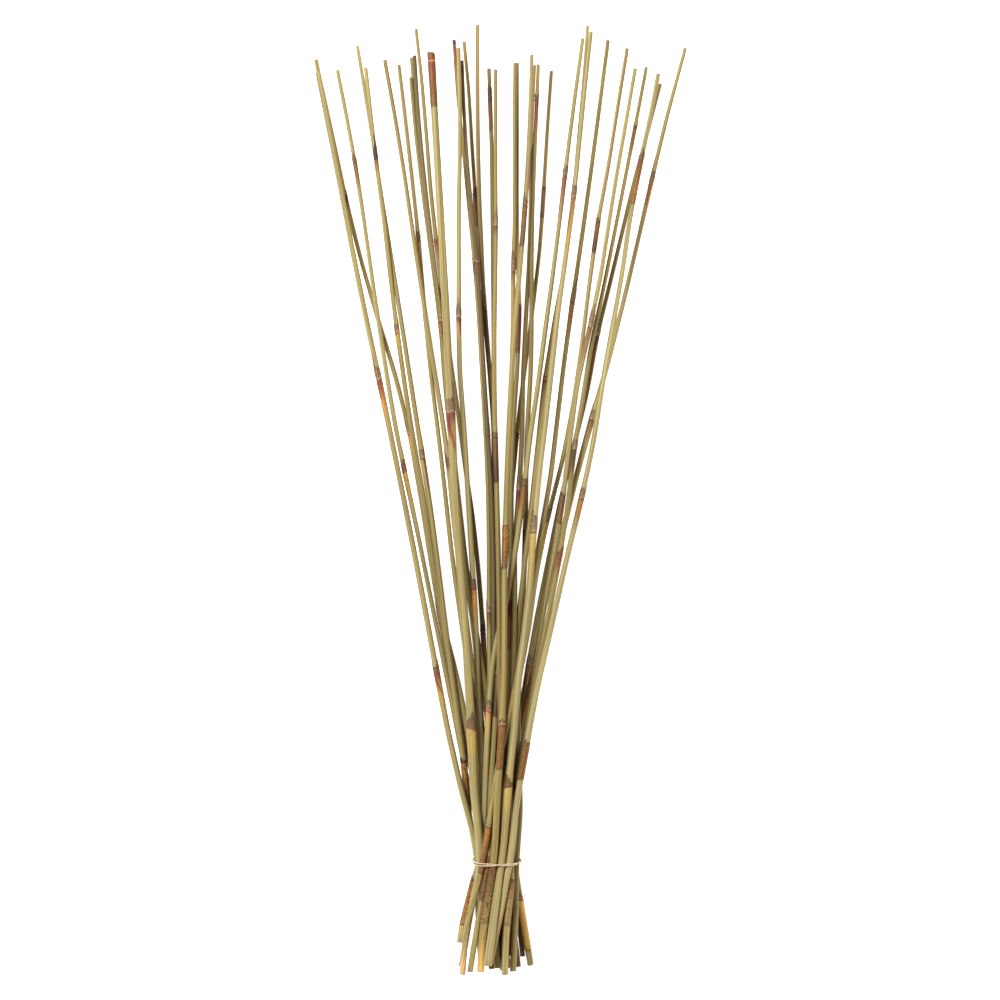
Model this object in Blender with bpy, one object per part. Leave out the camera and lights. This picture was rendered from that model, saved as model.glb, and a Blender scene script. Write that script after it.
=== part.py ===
"""A bunch of dried, cut reeds held by one tie near the butts, lying on its side.

Metres, +Z up. The reeds lie along Y with their tips towards +Y and fan out to both sides. The origin is on the surface
that the bunch lies on, under the middle of its box. Lengths in the tables are millimetres, measured from the tie.
"""
import math
from collections import namedtuple

import bmesh
import bpy
import numpy as np
from mathutils import Matrix

MM = 0.001

# The bunch
TIE_WIDTH = 43.0
TIE_HEIGHT = 50.0
REED_SIDES = 6
WIDENING_POWER = 0.85
KNOT_SPACING = 56.0
LEAST_KNOT_SPACING = 14.0
LEAST_RING_SPACING = 2.0
REED_GAP = 0.70

# The joints of a reed: a raised ring, and above it a sheath collar that thins out upwards
NODE_RING_GROWTH = 1.12
SHEATH_GROWTH = 1.06
BELOW_NODE_LENGTH = 48.0
SHEATH_MOUTH_LENGTH = 3.0
LEAST_SHEATH_LENGTH = 6.0
SHARP_EDGE = math.radians(50)

# The tie: one flat strand, tilted so that its upper part lies nearer to the butts
STRAND_WIDTH = 3.2
STRAND_THICKNESS = 1.7
STRAND_SIDES = 8
STRAND_STEPS = 40
TIE_CLEARANCE = 0.4
TIE_PLACE = 2.4
TIE_TILT = 2.6
KNOT_ANGLE = math.radians(-62.0)
KNOT_SPREAD = 0.17
KNOT_GROWTH = 1.15
ROUND_SIDES = 24
TAPER_ROOM = 1.04

# The relaxation that finds how high each reed lies
STATION_SPACING = 12.0
STATION_MARGIN = 18.0
SHAPE_STIFFNESS = 60.0
SETTLE_ROUNDS = ((300, 3000.0, 0.010), (300, 600.0, 0.003), (300, 120.0, 0.001))
FINISH_ROUNDS = 2400
TIGHT_SHARE = 0.3
PUSH_SHARE = 0.30
FINISH_PUSH_SHARE = 0.60
MOST_LIFT = 3.0
SIDE_PREFERENCE = 0.5
ORDER_REACH = 40.0
CROSSING_LIMIT = 0.8
CROSSING_SLOPE = 0.18
X_HOLD = 0.02
TIE_INFLUENCE = 140.0
TIE_REACH = 9.0
TIE_PULL = 0.25
TIE_SQUARENESS = 4.0
TINY = 1e-9
KEPT_PLACES = 3

Reed = namedtuple("Reed", "tip butt heights give path nodes")
# tip and butt are the widths of the two ends. heights are those of the centre line above the surface at the tip, halfway,
# at the tie and at the butt, before the reeds settle. give is how freely a reed may shift sideways as it settles. path
# lists the centre line from tip to butt, x across the bunch and y along it. nodes lists the joints as y and sheath length.
REEDS = {
    "reed_01": Reed(5.0, 6.4, (16, 20, 20, 22), 0.4,
        ((-179.5, 789), (-158.5, 682), (-135, 562), (-114, 462), (-93.5, 362), (-74, 262), (-55, 162), (-37.5, 82),
         (-17, 0), (-12, -100)),
        ((482, 14), (191, 11))),
    "reed_02": Reed(4.0, 5.2, (3, 6, 12, 12), 0.8,
        ((-182, 803), (-160, 702), (-144.5, 632), (-122, 552), (-110.5, 512), (-95.2, 462), (-87, 422), (-76.5, 362),
         (-65.5, 292), (-46, 182), (-13, 0), (-9, -93)),
        ((660, 12), (427, 13), (240, 22))),
    "reed_03": Reed(3.9, 5.2, (12, 14, 16, 17), 0.8,
        ((-160, 792), (-142, 697), (-125, 582), (-106.5, 462), (-95.5, 402), (-86.5, 362), (-74.3, 302),
         (-57.5, 222), (-41, 142), (-15, 0), (-18, -88)),
        ((699, 6), (388, 17))),
    "reed_04": Reed(3.6, 6.4, (10, 22, 19, 17), 0.4,
        ((-140, 816), (-121.5, 702), (-109, 622), (-98, 552), (-84, 462), (-74.5, 402), (-62.5, 322), (-50, 222),
         (-41, 162), (-33, 102), (-27.5, 62), (-16.5, 0), (-12, -100)),
        ((402, 13), (99, 8))),
    "reed_05": Reed(3.8, 6.2, (22, 18, 21, 18), 0.5,
        ((-131.5, 794), (-121, 702), (-112, 632), (-104, 562), (-93, 482), (-84, 422), (-73.5, 362), (-63, 292),
         (-50.5, 222), (-39.5, 182), (-32, 142), (-13, 0), (-9, -98)),
        ((701, 15), (528, 15))),
    "reed_06": Reed(4.0, 6.0, (14, 12, 16, 12), 0.7,
        ((-112.5, 802), (-105.5, 762), (-96.7, 712), (-89.5, 662), (-77.5, 582), (-67, 512), (-59, 462), (-50.5, 402),
         (-40, 292), (-29, 222), (-23.5, 182), (-1, 0), (11, -106)),
        ((397, 15), (163, 22))),
    "reed_07": Reed(3.5, 5.6, (8, 8, 20, 20), 0.8,
        ((-99, 798), (-92.3, 742), (-85.5, 682), (-75, 582), (-68.5, 512), (-54, 402), (-44, 322), (-30, 222),
         (-26, 182), (-8, 0), (-5, -96)),
        ((622, 12), (543, 16))),
    "reed_08": Reed(4.2, 6.4, (9, 9, 19, 18), 0.5,
        ((-83.5, 807), (-79.5, 742), (-75.5, 702), (-66, 622), (-56.5, 542), (-52, 482), (-40, 362), (-33, 302),
         (-28, 262), (-18, 197), (-14, 172), (15, 0), (32, -103)),
        ((539, 6), (-39, 10))),
    "reed_09": Reed(3.4, 5.2, (4, 4, 9, 6), 1.0,
        ((-86.2, 805), (-81, 742), (-77, 702), (-68, 622), (-58, 542), (-38, 342), (-26, 242), (-10, 142), (11, 0),
         (26.5, -95)),
        ((450, 8), (150, 8))),
    "reed_10": Reed(3.4, 5.2, (14, 5, 21, 28), 1.0,
        ((-85.5, 785), (-75, 682), (-60, 562), (-45, 422), (-30, 282), (-17, 142), (-7, 0), (-4, -96)),
        ((495, 8), (205, 8))),
    "reed_11": Reed(3.4, 5.6, (15, 12, 15, 10), 0.5,
        ((-81.5, 833), (-78, 802), (-71, 722), (-64.5, 642), (-57, 577), (-51, 527), (-40, 452), (-31, 387), (-22, 327),
         (-18, 287), (-12, 217), (-9, 172), (9, 0), (21.5, -105)),
        ((617, 8), (562, 18), (230, 9))),
    "reed_12": Reed(6.8, 8.9, (36, 38, 31, 22), 0.1,
        ((-66, 808), (-64, 772), (-61.5, 732), (-57.5, 662), (-53.5, 592), (-50, 522), (-46, 449), (-44.2, 402),
         (-42.2, 362), (-39.2, 322), (-34.3, 262), (-31.2, 222), (-27, 152), (-23, 82), (-18.5, 0), (-10, -93)),
        ((798, 9), (449, 17), (134, 9))),
    "reed_13": Reed(3.4, 5.2, (12, 14, 21, 18), 0.7,
        ((-43.5, 822.5), (-37.5, 742), (-33, 702), (-27.5, 642), (-24.5, 612), (-21, 582), (-18.8, 542), (-14.5, 472),
         (-11.5, 422), (-9, 372), (-7.5, 302), (-6.5, 222), (-4, 100), (-2, 0), (0, -104)),
        ((600, 8), (250, 12))),
    "reed_14": Reed(4.0, 6.2, (30, 25, 26, 22), 0.3,
        ((-39, 813), (-37.5, 762), (-37.5, 712), (-38.5, 662), (-38.7, 612), (-38.5, 562), (-37.7, 492), (-33.5, 437),
         (-31.7, 402), (-29.5, 372), (-27.7, 342), (-24.5, 282), (-22.5, 257), (-21, 222), (-19, 182), (-17, 142),
         (-14, 87), (-9, 0), (-5, -100)),
        ((544, 11), (272, 12))),
    "reed_15": Reed(3.4, 5.8, (21, 20, 24, 22), 0.6,
        ((-35.7, 801), (-33, 742), (-30.5, 702), (-28, 672), (-21.5, 612), (-19.5, 582), (-16.5, 542), (-12.5, 472),
         (-9, 422), (-6, 372), (-3.5, 302), (-2, 222), (3, 100), (6, 0), (12, -100)),
        ((791, 8), (598, 8), (425, 10))),
    "reed_16": Reed(3.5, 5.2, (6, 7, 13, 8), 0.7,
        ((-33.5, 821), (-28, 762), (-24.7, 702), (-22.5, 672), (-20, 612), (-18, 562), (-15.5, 512), (-10, 402),
         (-7, 342), (-5, 262), (-4, 182), (-1, 60), (0, 0), (2, -98)),
        ((670, 6), (360, 10))),
    "reed_17": Reed(4.0, 5.6, (22, 11, 20, 15), 0.5,
        ((-19.8, 837), (-19.8, 762), (-18, 662), (-14.5, 582), (-13, 552), (-9, 502), (-5, 457), (-3.5, 412),
         (-2, 352), (0, 222), (3, 100), (5, 0), (8, -100)),
        ((554, 12), (215, 8))),
    "reed_18": Reed(3.8, 6.2, (19, 20, 19, 16), 0.5,
        ((-8.5, 793), (-6, 722), (-4.5, 612), (-3.5, 512), (-3.5, 402), (-2.5, 352), (-3, 302), (-3.5, 222), (-4, 100),
         (-4, 0), (-5.5, -107)),
        ((765, 9), (300, 8))),
    "reed_19": Reed(3.6, 6.2, (27, 27, 30, 28), 0.5,
        ((-2, 792), (-1.8, 682), (-1.7, 622), (-2.8, 542), (-3.3, 502), (-3, 462), (-2.3, 422), (-0.3, 342), (0.5, 302),
         (1, 222), (0, 100), (-1, 0), (2, -104)),
        ((635, 12), (425, 6))),
    "reed_20": Reed(3.7, 5.2, (14, 10, 14, 10), 0.7,
        ((17.5, 799), (17.3, 742), (17.5, 662), (17, 622), (16, 582), (15.5, 532), (13, 462), (10.5, 402), (8, 342),
         (5, 222), (6, 100), (6, 0), (7, -104)),
        ((590, 20), (290, 8))),
    "reed_21": Reed(3.6, 5.8, (8, 14, 24, 26), 0.4,
        ((19.7, 800), (19.5, 702), (19.5, 622), (20.5, 572), (21.7, 545), (21.5, 522), (19.5, 502), (17, 462),
         (14, 402), (13, 342), (11, 242), (9, 162), (7, 102), (5, 0), (2, -58), (-1, -107)),
        ((555, 6), (259, 6), (-58, 12))),
    "reed_22": Reed(3.8, 7.4, (30, 34, 41, 38), 0.1,
        ((34.3, 806), (30.5, 702), (27, 647), (24, 612), (21.5, 582), (19.5, 562), (15.8, 517), (14, 482), (10.3, 402),
         (8.3, 337), (7, 292), (7, 222), (6, 172), (3.5, 117), (0.5, 72), (-2, 42), (-5, 0), (-12, -57), (-16.5, -107)),
        ((655, 8), (336, 5), (137, 10), (-57, 4))),
    "reed_23": Reed(3.5, 6.4, (18, 22, 34, 36), 0.3,
        ((37, 797), (34.5, 742), (33, 662), (32.5, 622), (29.5, 562), (26.5, 502), (25, 462), (23.5, 392), (21, 362),
         (17.5, 322), (17.5, 282), (17.2, 222), (15, 192), (12, 82), (11.5, 0), (9, -61), (6.5, -110)),
        ((702, 12), (371, 14), (-18, 6))),
    "reed_24": Reed(3.5, 6.6, (27, 16, 27, 32), 0.3,
        ((40.8, 797), (38.5, 742), (37, 702), (34.5, 632), (34, 572), (33.5, 502), (30.5, 442), (28.5, 402), (28.5, 362),
         (27, 302), (23, 222), (19.5, 122), (19, 42), (18.5, 0), (17, -58), (15.5, -108)),
        ((762, 6), (327, 6))),
    "reed_25": Reed(3.4, 5.8, (4, 12, 37, 40), 0.3,
        ((54, 792), (50.5, 742), (46.3, 672), (43, 622), (36.5, 562), (30, 512), (23, 457), (19, 422), (13.5, 362),
         (9.5, 312), (1.5, 222), (-0.7, 182), (-3, 132), (-5.3, 92), (-9, 12), (-12.5, -15), (-17, -35), (-22, -58),
         (-28, -107)),
        ((672, 6), (427, 6), (185, 6), (8, 5))),
    "reed_26": Reed(3.9, 6.4, (34, 30, 26, 16), 0.2,
        ((85, 822), (69.2, 702), (59.6, 622), (51.8, 562), (45, 512), (38.5, 462), (33, 432), (28, 382), (21.5, 342),
         (17, 302), (11, 272), (2.5, 237), (-5.5, 187), (-8.5, 152), (-9, 112), (-12, 62), (-19, 0), (-27, -48),
         (-36, -103)),
        ((684, 15), (375, 12), (153, 14))),
    "reed_27": Reed(3.5, 5.8, (17, 20, 28, 26), 0.6,
        ((90, 836), (85.5, 772), (80, 712), (68, 602), (58, 547), (49, 492), (41.5, 432), (36.8, 382), (32, 347),
         (27.5, 302), (22, 262), (12.5, 147), (8, 107), (3, 62), (-1, 0), (-8, -101)),
        ((480, 8), (135, 12))),
    "reed_28": Reed(3.9, 8.0, (38, 42, 43, 36), 0.1,
        ((93.3, 828), (86, 762), (77.8, 682), (70.5, 622), (62, 562), (52.8, 482), (45.5, 422), (38.5, 362),
         (34.3, 312), (31, 262), (25.5, 222), (20.7, 182), (17, 142), (14, 102), (9, 62), (5, 22), (3, 0), (-4, -43),
         (-9, -100)),
        ((662, 14), (330, 16), (77, 12))),
    "reed_29": Reed(3.9, 6.0, (17, 16, 38, 46), 0.3,
        ((110.7, 822), (95, 702), (84, 622), (72.3, 542), (62, 462), (55, 402), (46, 342), (40, 312), (28, 232),
         (10, 137), (-9.5, 42), (-15.5, 7), (-18, -9), (-23, -33), (-28, -63), (-34, -110)),
        ((558, 16), (37, 8))),
    "reed_30": Reed(3.8, 5.4, (8, 12, 19, 16), 0.5,
        ((130, 814), (121.3, 762), (108.5, 682), (100, 637), (92.5, 582), (85, 522), (77, 467), (69.3, 422), (60, 382),
         (51.5, 347), (43.5, 317), (36, 262), (24, 192), (13, 107), (5, 0), (1, -96)),
        ((640, 6), (341, 10))),
    "reed_31": Reed(3.8, 5.8, (20, 22, 20, 14), 0.5,
        ((137.5, 793), (125.3, 722), (111.8, 642), (98.8, 562), (91, 527), (84, 497), (78.3, 462), (71, 402), (63.5, 342),
         (53.8, 282), (45, 242), (35.7, 182), (25, 142), (12, 62), (0, 0), (-18, -93)),
        ((534, 15), (366, 6), (165, 13))),
    "reed_32": Reed(3.5, 5.8, (13, 15, 33, 36), 0.5,
        ((149, 795), (139, 742), (127.3, 682), (111.5, 602), (99, 542), (92, 512), (85, 462), (77, 425), (74.5, 402),
         (69.5, 362), (58, 292), (46, 227), (37, 187), (27, 132), (17, 77), (9, 0), (2, -95)),
        ((733, 7), (411, 15), (304, 14), (75, 5))),
    "reed_33": Reed(3.6, 6.4, (4, 5, 22, 26), 0.5,
        ((163, 779), (148, 722), (136, 677), (123, 622), (108.5, 562), (99.5, 527), (92, 482), (80, 430), (68, 382),
         (58.5, 340), (47, 282), (38.5, 242), (31.5, 202), (23, 157), (14, 90), (9, 0), (7, -93)),
        ((525, 14), (195, 14))),
    "reed_34": Reed(4.2, 6.6, (27, 30, 40, 36), 0.1,
        ((160.5, 787.5), (148, 722), (137, 672), (129.5, 622), (119.7, 562), (108.7, 502), (99, 442), (88.3, 382),
         (83, 362), (68.7, 302), (55, 242), (45.7, 202), (36.7, 162), (28.5, 115), (19, 60), (10, 0), (0, -48),
         (-7, -98)),
        ((700, 8), (363, 14), (117, 5))),
    "reed_35": Reed(3.5, 7.8, (12, 6, 12, 6), 0.0,
        ((188, 814), (174, 762), (159, 702), (145.3, 642), (126.3, 562), (112, 505), (97.5, 454), (83.5, 402), (73, 362),
         (58, 300), (42, 237), (30, 182), (17, 127), (3, 72), (-17, 0), (-26, -28), (-34, -63), (-36.5, -80)),
        ((679, 14), (441, 12), (-18, 5), (-63, 5))),
}

SURFACES = {
    "straw": ((0.52, 0.45, 0.23), 0.48),
    "olive": ((0.40, 0.35, 0.18), 0.50),
    "umber": ((0.29, 0.24, 0.12), 0.52),
    "twine": ((0.78, 0.66, 0.48), 0.80),
}
DARK_REEDS = ("reed_08", "reed_11", "reed_15", "reed_16", "reed_17", "reed_18", "reed_33")
OLIVE_REEDS = ("reed_02", "reed_05", "reed_06", "reed_09", "reed_10", "reed_13", "reed_19", "reed_20", "reed_21",
               "reed_23", "reed_24", "reed_25", "reed_27", "reed_29", "reed_30", "reed_32")


def clear_scene():
    for thing in list(bpy.data.objects):
        bpy.data.objects.remove(thing)


def surface(name):
    """The material of that name, made at its first use."""
    if name in bpy.data.materials:
        return bpy.data.materials[name]
    colour, roughness = SURFACES[name]
    made = bpy.data.materials.new(name)
    made.use_nodes = True
    shader = made.node_tree.nodes["Principled BSDF"]
    shader.inputs["Base Color"].default_value = (*colour, 1.0)
    shader.inputs["Roughness"].default_value = roughness
    shader.inputs["Metallic"].default_value = 0.0
    return made


def between(spots, places):
    """The matrix that reads a line given at the rising places at each of the spots, straight between two places."""
    reader = np.zeros((len(spots), len(places)))
    left = np.clip(np.searchsorted(places, spots) - 1, 0, len(places) - 2)
    share = (spots - places[left]) / (places[left + 1] - places[left])
    row = np.arange(len(spots))
    reader[row, left] = 1.0 - share
    reader[row, left + 1] = share
    return reader


def bending(count):
    """The matrix whose square form is the bending of a line with that many stations."""
    second = np.diff(np.eye(count), 2, axis=0)
    return second.T @ second


def half_width(reed, y):
    """Half the reed's width at each y. It widens from tip to butt, and steps up a little below each joint."""
    y = np.asarray(y, float)
    tip_y = reed.path[0][1]
    butt_y = reed.path[-1][1]
    down = np.clip((tip_y - y) / (tip_y - butt_y), 0.0, 1.0)
    width = reed.tip + (reed.butt - reed.tip) * down**WIDENING_POWER
    for node_y, sheath in reed.nodes:
        sheath = max(sheath, LEAST_SHEATH_LENGTH)
        top = node_y + sheath + SHEATH_MOUTH_LENGTH
        at = (top, node_y + sheath, node_y, node_y - BELOW_NODE_LENGTH)
        growth = (1.0, SHEATH_GROWTH, NODE_RING_GROWTH, 1.0)
        width = width * np.interp(y, at[::-1], growth[::-1])
    return width / 2.0


def knots(reed):
    """The y of each point where a reed may bend, from butt to tip. Between two of them it runs straight."""
    at = [reed.path[-1][1]]
    for y in sorted(node_y for node_y, _ in reed.nodes) + [reed.path[0][1]]:
        if y - at[-1] > LEAST_KNOT_SPACING:
            at.append(y)
    at[-1] = reed.path[0][1]
    bends = []
    for low, high in zip(at, at[1:]):
        bends.extend(np.linspace(low, high, max(1, round((high - low) / KNOT_SPACING)), endpoint=False))
    return np.array(bends + [at[-1]])


def ring_places(reed):
    """The y of each ring of a reed's mesh, from butt to tip: its knots, and those that shape its joints."""
    at = set(knots(reed))
    for node_y, sheath in reed.nodes:
        sheath = max(sheath, LEAST_SHEATH_LENGTH)
        at.update((node_y, node_y + sheath, node_y + sheath + SHEATH_MOUTH_LENGTH))
    rings = [reed.path[-1][1]]
    for y in sorted(at):
        if rings[-1] + LEAST_RING_SPACING < y < reed.path[0][1] - LEAST_RING_SPACING:
            rings.append(y)
    return np.array(rings + [reed.path[0][1]])


def settled(stations):
    """The knots x and z of each reed, with no reed in another or in the floor, and the bunch drawn in at the tie."""
    reeds = list(REEDS.values())
    count = len(stations)
    bend = bending(count)
    read_x = []
    guide = []
    to_knots = []
    from_knots = []
    knot_floor = []
    alive = []
    radius = []
    for reed in reeds:
        path_x, path_y = np.array(reed.path[::-1], float).T
        reader = between(path_y, stations)
        read_x.append(np.linalg.solve(reader.T @ reader + SHAPE_STIFFNESS * bend / count, reader.T @ path_x))
        guide.append(np.interp(stations, (path_y[0], 0.0, path_y[-1] / 2, path_y[-1]), reed.heights[::-1]))
        alive.append((stations > path_y[0] - STATION_SPACING) & (stations < path_y[-1] + STATION_SPACING))
        near = half_width(reed, stations[:, None] + np.linspace(-0.5, 0.5, 7) * STATION_SPACING)
        radius.append(near.max(1))
        spread = between(stations, knots(reed))
        to_knots.append(np.linalg.pinv(spread * alive[-1][:, None]))
        from_knots.append(spread)
        knot_floor.append(half_width(reed, knots(reed)))
    read_x = np.array(read_x)
    guide = np.array(guide)
    straightened = np.array([spread @ fit for spread, fit in zip(from_knots, to_knots)])
    radius = np.array(radius) * np.sqrt(1.0 + np.gradient(read_x, stations, axis=1)**2)
    give = np.array([reed.give for reed in reeds])[:, None]
    hold_x = X_HOLD * (1.0 - give * np.exp(-(stations / TIE_INFLUENCE)**2))
    first, second = np.triu_indices(len(reeds), 1)
    pairs = np.arange(len(first))
    shares = np.zeros((len(reeds), len(first)))
    shares[first, pairs] = 1.0
    shares[second, pairs] = -1.0
    both = np.array(alive)[first] & np.array(alive)[second]
    wanted = radius[first] + radius[second] + REED_GAP
    at_tie = np.abs(stations) < TIE_REACH
    strand_room = STRAND_THICKNESS + 2 * TIE_CLEARANCE
    floor = radius + np.where(np.abs(stations) < STATION_SPACING, strand_room, 0.0)
    middle = TIE_HEIGHT / 2 + strand_room

    # Each pair keeps one order, first over second or under it, along every run where the two may touch, and where they
    # change sides on that run they are only moved up and down
    reach = np.exp(-np.abs(stations[:, None] - stations) / ORDER_REACH)
    side = read_x[first] - read_x[second]
    close = np.where(both, np.clip(wanted - np.abs(side), 0.0, None), 0.0)
    order = np.where((close * (guide[first] - guide[second])) @ reach < 0.0, -1.0, 1.0)
    crossing = ((np.abs((close * np.sign(side)) @ reach) < CROSSING_LIMIT * (close @ reach))
                & (np.abs(np.gradient(side, stations, axis=1)) > CROSSING_SLOPE))

    def pushed(x, z, share):
        dx = x[first] - x[second]
        dz = (z[first] - z[second]) * order
        apart = np.hypot(dx, dz) + TINY
        short = np.where(both, np.clip(wanted - apart, 0.0, None), 0.0)
        sideways = np.sqrt(np.clip(wanted**2 - np.minimum(dz, 0.0)**2, 0.0, None)) - np.abs(dx)
        upward = np.sqrt(np.clip(wanted**2 - dx**2, 0.0, None)) - dz
        wrong = (dz < 0.0) & (short > 0.0)
        aside = wrong & ~crossing & (sideways < upward * SIDE_PREFERENCE)
        lift = (wrong & ~aside) | (crossing & (short > 0.0))
        move_x = np.where(aside, sideways * np.sign(dx), np.where(lift, 0.0, short * dx / apart))
        move_z = np.where(aside, 0.0, np.where(lift, np.minimum(upward, MOST_LIFT), short * dz / apart)) * order
        return x + give * (shares @ move_x) * share, np.maximum(z + (shares @ move_z) * share, floor)

    def pulled(x, z):
        across = x[:, at_tie]
        up = z[:, at_tie] - middle
        far_x = np.abs(across) / (TIE_WIDTH / 2 - radius[:, at_tie])
        far_z = np.abs(up) / (TIE_HEIGHT / 2 - radius[:, at_tie])
        out = (far_x**TIE_SQUARENESS + far_z**TIE_SQUARENESS)**(1.0 / TIE_SQUARENESS)
        inward = np.where(out > 1.0, TIE_PULL * (1.0 - 1.0 / np.maximum(out, TINY)), 0.0)
        x[:, at_tie] -= across * inward * give
        z[:, at_tie] -= up * inward
        return x, z

    x = read_x.copy()
    z = guide.copy()
    for rounds, stiffness, hold in SETTLE_ROUNDS:
        smooth = np.linalg.inv(np.eye(count) + stiffness * bend)
        for _ in range(rounds):
            x, z = pulled(*pushed(x, z, PUSH_SHARE))
            z = np.maximum((z + (guide - z) * hold) @ smooth, floor).round(KEPT_PLACES)
            x = (read_x + ((x - read_x) @ smooth) * (1.0 - hold_x)).round(KEPT_PLACES)
    for turn in range(FINISH_ROUNDS):
        x, z = pushed(x, z, FINISH_PUSH_SHARE)
        if turn < FINISH_ROUNDS * TIGHT_SHARE:
            x, z = pulled(x, z)
        x = (straightened @ x[:, :, None])[:, :, 0].round(KEPT_PLACES)
        knot_z = [np.maximum(fit @ row, low) for fit, row, low in zip(to_knots, z, knot_floor)]
        z = np.array([spread @ row for spread, row in zip(from_knots, knot_z)]).round(KEPT_PLACES)
    return [fit @ row for fit, row in zip(to_knots, x)], knot_z


def add_object(name, mesh, finish):
    made = bpy.data.objects.new(name, mesh)
    bpy.context.scene.collection.objects.link(made)
    made.data.materials.append(surface(finish))
    return made


def skinned(name, rings, closed):
    """A mesh over rings of points. A closed one ends in itself, and an open one in two flat faces."""
    form = bmesh.new()
    layers = [[form.verts.new(point) for point in ring] for ring in rings]
    sides = len(layers[0])
    for low, high in zip(layers, layers[1:] + layers[:1] if closed else layers[1:]):
        for k in range(sides):
            form.faces.new((low[k], low[(k + 1) % sides], high[(k + 1) % sides], high[k]))
    if not closed:
        form.faces.new(layers[0][::-1])
        form.faces.new(layers[-1])
    bmesh.ops.recalc_face_normals(form, faces=form.faces)
    mesh = bpy.data.meshes.new(name)
    form.to_mesh(mesh)
    form.free()
    mesh.shade_smooth()
    mesh.set_sharp_from_angle(angle=SHARP_EDGE)
    return mesh


def add_reed(name, reed, x, z):
    """One reed from its cut butt to its cut tip, with its joints."""
    at = ring_places(reed)
    bends = knots(reed)
    middle = np.stack([np.interp(at, bends, x), at, np.interp(at, bends, z)], 1)
    along = np.gradient(middle, at, axis=0)
    along /= np.linalg.norm(along, axis=1)[:, None]
    side = np.cross(along, (0.0, 0.0, 1.0))
    side /= np.linalg.norm(side, axis=1)[:, None]
    up = np.cross(side, along)
    turn = np.arange(REED_SIDES) / REED_SIDES * 2 * math.pi
    radius = half_width(reed, at)
    rings = (middle[:, None]
             + radius[:, None, None] * (np.cos(turn)[None, :, None] * side[:, None]
                                        + np.sin(turn)[None, :, None] * up[:, None]))
    finish = "umber" if name in DARK_REEDS else "olive" if name in OLIVE_REEDS else "straw"
    return add_object(name, skinned(name, rings * MM, False), finish)


def hull(points):
    """The convex hull of points in a plane, anticlockwise."""
    points = sorted(map(tuple, points))

    def half(run):
        line = []
        for p in run:
            while len(line) > 1 and ((line[-1][0] - line[-2][0]) * (p[1] - line[-2][1])
                                     <= (line[-1][1] - line[-2][1]) * (p[0] - line[-2][0])):
                line.pop()
            line.append(p)
        return line[:-1]

    return np.array(half(points) + half(points[::-1]))


def add_tie(x, z):
    """The strand round all reeds, drawn tight, with its knot low on one side."""
    turn = np.arange(ROUND_SIDES) / ROUND_SIDES * 2 * math.pi
    round_all = []
    for index, reed in enumerate(REEDS.values()):
        for y in TIE_PLACE + np.array((-1.0, 0.0, 1.0)) * (TIE_TILT + STRAND_WIDTH):
            reach = half_width(reed, y) * TAPER_ROOM + TIE_CLEARANCE + STRAND_THICKNESS / 2
            centre = (np.interp(y, knots(reed), x[index]), np.interp(y, knots(reed), z[index]))
            round_all.extend(np.stack([centre[0] + reach * np.cos(turn), centre[1] + reach * np.sin(turn)], 1))
    corners = hull(round_all)
    closed = np.vstack([corners, corners[:1]])
    length = np.concatenate([[0.0], np.cumsum(np.linalg.norm(np.diff(closed, axis=0), axis=1))])
    spots = np.arange(STRAND_STEPS) / STRAND_STEPS * length[-1]
    ring_x = np.interp(spots, length, closed[:, 0])
    ring_z = np.interp(spots, length, closed[:, 1])
    centre_x = (ring_x.min() + ring_x.max()) / 2
    centre_z = (ring_z.min() + ring_z.max()) / 2
    angle = np.arctan2(ring_z - centre_z, ring_x - centre_x)
    ring_y = TIE_PLACE - TIE_TILT * np.sin(angle)
    middle = np.stack([ring_x, ring_y, ring_z], 1)
    along = np.roll(middle, -1, axis=0) - np.roll(middle, 1, axis=0)
    along /= np.linalg.norm(along, axis=1)[:, None]
    outward = np.cross((0.0, 1.0, 0.0), along)
    outward /= np.linalg.norm(outward, axis=1)[:, None]
    across = np.cross(along, outward)
    off = np.angle(np.exp(1j * (angle - KNOT_ANGLE)))
    knot = 1.0 + KNOT_GROWTH * np.exp(-(off / KNOT_SPREAD)**2)
    middle = middle + outward * ((knot - 1.0) * STRAND_THICKNESS / 2)[:, None]
    turn = np.arange(STRAND_SIDES) / STRAND_SIDES * 2 * math.pi
    rings = (middle[:, None]
             + (knot * STRAND_WIDTH / 2)[:, None, None] * np.cos(turn)[None, :, None] * across[:, None]
             + (knot * STRAND_THICKNESS / 2)[:, None, None] * np.sin(turn)[None, :, None] * outward[:, None])
    return add_object("tie", skinned("tie", rings * MM, True), "twine")


def centre(objects):
    """Move all meshes so that the origin is under the middle of their box, on the surface they lie on."""
    corners = np.array([vertex.co for thing in objects for vertex in thing.data.vertices])
    low = corners.min(0)
    high = corners.max(0)
    for thing in objects:
        thing.data.transform(Matrix.Translation((-(low[0] + high[0]) / 2, -(low[1] + high[1]) / 2, -low[2])))


def build():
    clear_scene()
    lowest = min(reed.path[-1][1] for reed in REEDS.values())
    highest = max(reed.path[0][1] for reed in REEDS.values())
    stations = np.arange(lowest - STATION_MARGIN, highest + STATION_MARGIN + STATION_SPACING, STATION_SPACING)
    x, z = settled(stations)
    objects = [add_reed(name, reed, x[index], z[index]) for index, (name, reed) in enumerate(REEDS.items())]
    objects.append(add_tie(x, z))
    centre(objects)


build()
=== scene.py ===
"""The finish of a bunch of dried, cut reeds held by one tie, lying on a pale floor and seen from above.

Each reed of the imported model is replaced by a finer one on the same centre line, with its joints, the
remnants of its sheaths, its coloured bands and its cut ends. Lengths in the tables are millimetres, and y
runs along the bunch from the tie towards the tips.
"""
import math
from collections import namedtuple

import bpy
import numpy as np
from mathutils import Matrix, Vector
from mathutils.bvhtree import BVHTree


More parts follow.
